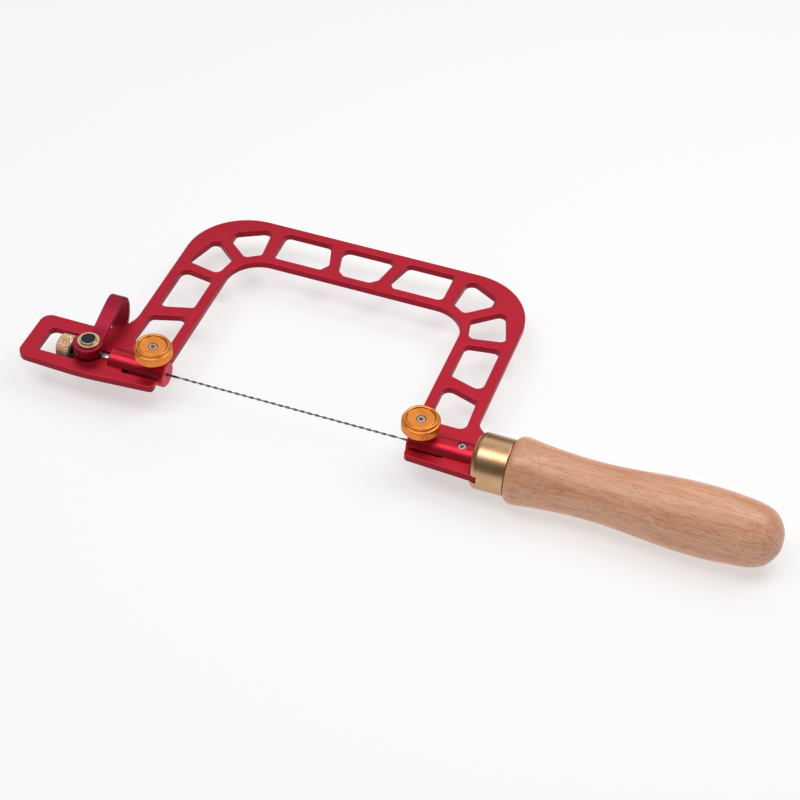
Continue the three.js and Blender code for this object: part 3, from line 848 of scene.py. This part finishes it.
LEVER_LEFT, LEVER_RIGHT, LEVER_THICKNESS = -1.4, 5.2, 1.9
STRIP_EDGE, HUB_EDGE = 0.35, 0.4
HUB_BOTTOM, HUB_TOP = 2.5, 7.0
HUB_BORE_R, BUSH_SEAT_R = 4.2, 4.95
LEVER_CURVE = [(-2, 6.0), (3, 6.3), (8, 7.4), (13, 9.1), (18, 10.8), (21.8, 11.8), (24.4, 11.6),
               (26.7, 9.7), (27.8, 5.8), (27.3, 1.6), (26.0, -1.6), (24.3, -4.0), (22.6, -5.7)]


def cam_outline():
    """The hub's edge: an involute flank that meets the saddle, closed by an eased back."""
    reach_closed, lead = 6.5, 1.23
    flank_start, flank_turn, flank_steps, back_steps = 128, 64, 24, 60
    points = []
    for k in range(flank_steps + 1):
        a = math.radians(flank_start + flank_turn * k / flank_steps)
        reach = reach_closed - lead * (math.pi - a)
        points.append((reach * math.cos(a) - lead * math.sin(a),
                       reach * math.sin(a) + lead * math.cos(a)))
    r0, a0 = math.hypot(*points[-1]), math.atan2(points[-1][1], points[-1][0]) + TAU
    r1, a1 = math.hypot(*points[0]), math.atan2(points[0][1], points[0][0]) + TAU
    for k in range(1, back_steps):
        t = k / back_steps
        r = r0 + (r1 - r0) * (1 - math.cos(math.pi * t)) / 2
        a = a0 + (a1 - a0) * t
        points.append((r * math.cos(a), r * math.sin(a)))
    return [(CAM_X + x, y) for x, y in points]


def lever_strip():
    """The thumb strip, drawn as (y, z) and given its width along x."""
    fineness = 90
    line = spline(LEVER_CURVE, fineness)
    half = LEVER_THICKNESS / 2
    upper, lower = [], []
    for k, (y, z) in enumerate(line):
        a, b = line[max(0, k - 1)], line[min(len(line) - 1, k + 1)]
        along = Vector((b[0] - a[0], b[1] - a[1])).normalized()
        upper.append((y - along.y * half, z + along.x * half))
        lower.append((y + along.y * half, z - along.x * half))
    return plate_solid("strip", [upper + lower[::-1]], CAM_X + LEVER_LEFT, CAM_X + LEVER_RIGHT,
                       STRIP_EDGE, lambda p: Vector((p.z, p.x, p.y)))


def make_lever():
    """Cam hub with the thumb strip joined to it, bored for the bush and its flange."""
    above = 12
    hub = plate_solid("lever", [cam_outline()], HUB_BOTTOM, HUB_TOP, HUB_EDGE)
    root = cuboid(CAM_X + LEVER_LEFT + STRIP_EDGE, CAM_X + LEVER_RIGHT - STRIP_EDGE,
                  1, 7.6, 5.2, 6.75)
    combine(hub, [root, lever_strip()], "UNION")
    combine(hub, [rod("z", (CAM_X, 0), HUB_BORE_R, 0, above),
                  rod("z", (CAM_X, 0), BUSH_SEAT_R, HUB_TOP, above)])
    even_normals(hub)
    fit_out(hub, "cam_lever", LEVER_RED, "cam_lever")


make_lever()


BUSH_PROFILE = [(3.5, 2.5), (4.15, 2.5), (4.15, 7.05), (4.85, 7.05), (4.85, 7.65), (4.6, 7.9),
                (3.5, 7.9), (3.5, 2.5)]
BARREL_PROFILE = [(0, -3.6), (3.15, -3.6), (BARREL_R, -3.3), (BARREL_R, -3.0), (2.6, -3.0),
                  (2.6, -2.3), (BARREL_R, -2.3), (BARREL_R, 8.5), (3.35, 8.65), (3.05, 8.65),
                  (3.05, 7.6), (0, 7.6)]
CAP_PROFILE = [(0, 7.65), (3.0, 7.65), (3.0, 8.45), (2.85, 8.6), (2.3, 8.48), (1.5, 8.4),
               (0, 8.38)]


def make_pivot():
    """Brass bush, steel barrel with its cross hole and snap ring groove, and black cap."""
    centre, segments, cross = (CAM_X, 0), 96, 5
    ring = lathe("bush_ring", "z", centre, eased_profile(BUSH_PROFILE, 0.08)[:-1], segments,
                 closed=True)
    fit_out(ring, "frame", BRASS_BUSH, "cam_bush")
    barrel = lathe("pivot_barrel", "z", centre, eased_profile(BARREL_PROFILE, 0.06), segments)
    combine(barrel, [rod("x", (0, 0), ROD_BORE_R, CAM_X - cross, CAM_X + cross)])
    fit_out(barrel, "frame", BRIGHT_STEEL, "cam_barrel")
    cap = lathe("pivot_cap", "z", centre, eased_profile(CAP_PROFILE, 0.15), segments)
    fit_out(cap, "frame", BLACK_STEEL, "cam_cap")


make_pivot()

# ---- tension rod, saddle and nut ------------------------------------------------------------


def make_rod():
    """Threaded from its free end to the pivot, plain in the pivot and the holder."""
    lo, hi = extent("tension_rod")
    r, depth, rings = 2.0, 0.22, 150
    relief = thread_relief(r, depth, lo.x + THREAD_LEAD_IN, CAM_X - 3.6)
    start = lo.x + THREAD_CHAMFER
    side = [(r, start + (hi.x - lo.x - THREAD_CHAMFER) * k / rings) for k in range(rings + 1)]
    profile = [(0, lo.x), (r - THREAD_CHAMFER, lo.x), *side, (0, hi.x)]
    bar = lathe("draw_rod", "x", (0, 0), profile, 48, relief)
    fit_out(bar, "tension_carriage", ROD_STEEL, "tension_rod")


def make_saddle():
    """Round washer with a flat bar across its face for the cam to press on."""
    lo, hi = extent("saddle_washer")
    seat, bar_half = lo.x + 0.65, 1.4
    disc = rod("x", (0, 0), (hi.y - lo.y) / 2, lo.x, hi.x, 96)
    combine(disc, [
        cuboid(seat, hi.x + 1, -CUT_REACH, CUT_REACH, bar_half, CUT_REACH),
        cuboid(seat, hi.x + 1, -CUT_REACH, CUT_REACH, -CUT_REACH, -bar_half),
        rod("x", (0, 0), ROD_BORE_R, lo.x - 1, hi.x + 1),
    ])
    disc.name = "saddle"
    ease_edges(disc, CUT_EDGE)
    even_normals(disc)
    fit_out(disc, "saddle", BLACK_NYLON, "saddle_washer")


def make_nut():
    """Round nut with crossed knurling."""
    lo, hi = extent("tension_nut")
    r = (hi.y - lo.y) / 2
    starts, pitch, depth, steepness = 34, 1.1, 0.3, 3
    left, right = lo.x + 0.75, hi.x - 0.6
    edge_r, edge_width = r - 0.15, 0.1

    def knurl(radius, station, turn):
        if radius < r - FULL_RADIUS:
            return 0
        along = (station - left) / pitch
        a = (starts * turn / TAU + along) % 1
        b = (starts * turn / TAU - along) % 1
        groove = max(1 - steepness * min(a, 1 - a), 1 - steepness * min(b, 1 - b), 0)
        return depth * groove

    count = 36
    band = [(r, left + (right - left) * k / count) for k in range(count + 1)]
    profile = [(ROD_BORE_R, lo.x), (r - 0.8, lo.x), (edge_r, left - edge_width), *band,
               (edge_r, right + edge_width), (r - 0.4, hi.x), (ROD_BORE_R, hi.x)]
    nut = lathe("nut", "x", (0, 0), profile, 240, knurl, 35, closed=True)
    fit_out(nut, "nut", BRASS_NUT, "tension_nut")


make_rod()
make_saddle()
make_nut()

# ---- ferrule and handle ---------------------------------------------------------------------


TANG_HOLE_R = 4.6


def make_ferrule():
    """Turned cap with a slot across its front for the plate, open behind for the handle."""
    lo, hi = extent("ferrule")
    r = (hi.y - lo.y) / 2
    wall, rear_chamfer, ease = 1.2, 0.3, 0.3
    cap_end, slot_end, slot_reach = 88.0, 85.9, 14
    profile = [(0, lo.x), (9.75, lo.x), (11.1, lo.x + 1.2), (r, lo.x + 2.4),
               (r, hi.x - rear_chamfer), (r - rear_chamfer, hi.x), (r - wall, hi.x),
               (r - wall, cap_end), (0, cap_end)]
    shell = lathe("ferrule_cap", "x", (0, 0), eased_profile(profile, ease), 160)
    combine(shell, [cuboid(lo.x - 1, slot_end, -slot_reach, slot_reach, -KERF, KERF),
                    rod("x", (0, 0), TANG_HOLE_R, lo.x - 1, cap_end + 1)])
    ease_edges(shell, 0.1)
    even_normals(shell)
    fit_out(shell, "frame", BRASS_FERRULE, "ferrule")


HANDLE_PROFILE = [(97.1, 12.0), (97.6, 12.7), (98.8, 13.5), (100.8, 13.9), (103.8, 13.55),
                  (109.5, 12.85), (115.5, 12.35), (121.5, 12.0), (128.5, 11.82), (136.5, 11.95),
                  (142.5, 12.3), (148.5, 12.8), (154.5, 13.35), (160.5, 13.85), (166.5, 14.2),
                  (174, 14.35), (181.5, 14.2), (187.5, 13.75), (193.5, 13.15), (196.5, 12.65),
                  (199.5, 11.7), (202.5, 9.8), (205, 6.6), (206.3, 3.6), (206.7, 0)]


def make_handle():
    """Turned grip with a spigot that sits in the ferrule and a bore for the tang."""
    lo, hi = extent("handle")
    bore_end, spigot_r = 123.5, 10.4
    outside = [(max(r, 0), min(x, hi.x)) for x, r in spline(HANDLE_PROFILE, 180)]
    front = HANDLE_PROFILE[0][0]
    profile = [(0, bore_end), (TANG_HOLE_R, bore_end), (TANG_HOLE_R, lo.x), (spigot_r, lo.x),
               (spigot_r, front), *outside]
    grip = lathe("grip", "x", (0, 0), profile, 128, smooth_angle=50)
    fit_out(grip, "frame", BEECH, "handle")


make_ferrule()
make_handle()

# ---- kept CAD nodes -------------------------------------------------------------------------

KEPT_NODES = {
    "tension_clamp_pad": BRASS_BUSH,
    "fixed_clamp_pad": BRASS_BUSH,
    "cam_washer": BLACK_NYLON,
    "barrel_clip": BLACK_STEEL,
}
for node, material in KEPT_NODES.items():
    slots = NODES[node].data.materials
    slots.clear()
    slots.append(material)

# ---- floor, lights and camera ---------------------------------------------------------------


FLOOR_HALF = 3
FLOOR_GAP = 0.0005


def make_floor():
    """Pale floor that gives a little light of its own."""
    bm = bmesh.new()
    bmesh.ops.create_grid(bm, x_segments=2, y_segments=2, size=FLOOR_HALF)
    mesh = bpy.data.meshes.new("floor")
    bm.to_mesh(mesh)
    bm.free()
    floor = bpy.data.objects.new("floor", mesh)
    floor.location = (0, 0, CAD_BOX[0].z - FLOOR_GAP)
    bpy.context.scene.collection.objects.link(floor)
    n = Nodes("floor")
    n.color((0.42, 0.42, 0.42))
    n.constant(Roughness=0.9, Emission_Color=(1, 1, 1, 1), Emission_Strength=0.56)
    n.shader.inputs["Specular IOR Level"].default_value = 0.0
    mesh.materials.append(n.material)


def area_light(name, location, target, size, power):
    data = bpy.data.lights.new(name, "AREA")
    data.shape = "RECTANGLE"
    data.size, data.size_y = size
    data.energy = power
    light = bpy.data.objects.new(name, data)
    light.location = location
    light.rotation_mode = "QUATERNION"
    light.rotation_quaternion = (Vector(target) - Vector(location)).to_track_quat("-Z", "Y")
    bpy.context.scene.collection.objects.link(light)


def make_lights():
    centre = (0, 0, 0.01)
    area_light("key", (-0.42, 0.78, 0.85), centre, (1.3, 0.6), 2.4)
    area_light("overhead", (-0.35, -0.34, 1.2), (-0.35, -0.34, 0), (1.2, 0.6), 9)
    area_light("side", (0.3, 0.2, 0.65), (0.1, -0.05, 0), (0.5, 0.5), 2.6)
    world = bpy.data.worlds.new("studio")
    world.use_nodes = True
    background = world.node_tree.nodes["Background"]
    background.inputs["Color"].default_value = (1, 1, 1, 1)
    background.inputs["Strength"].default_value = 0.12
    bpy.context.scene.world = world


def make_camera():
    data = bpy.data.cameras.new("camera")
    data.sensor_width = 36
    data.lens = 88.44
    data.clip_start, data.clip_end = 0.05, 20
    camera = bpy.data.objects.new("camera", data)
    location = Vector((0.177154, -0.575861, 0.573898))
    right = Vector((0.941445, 0.336017, 0.027839))
    up = Vector((-0.252449, 0.647754, 0.718807))
    back = Vector((0.223499, -0.683745, 0.694652))
    turn = Matrix((right, up, back)).transposed().to_4x4()
    camera.matrix_world = Matrix.Translation(location) @ turn
    bpy.context.scene.collection.objects.link(camera)
    bpy.context.scene.camera = camera


make_floor()
make_lights()
make_camera()
bpy.context.scene.view_settings.view_transform = "Standard"
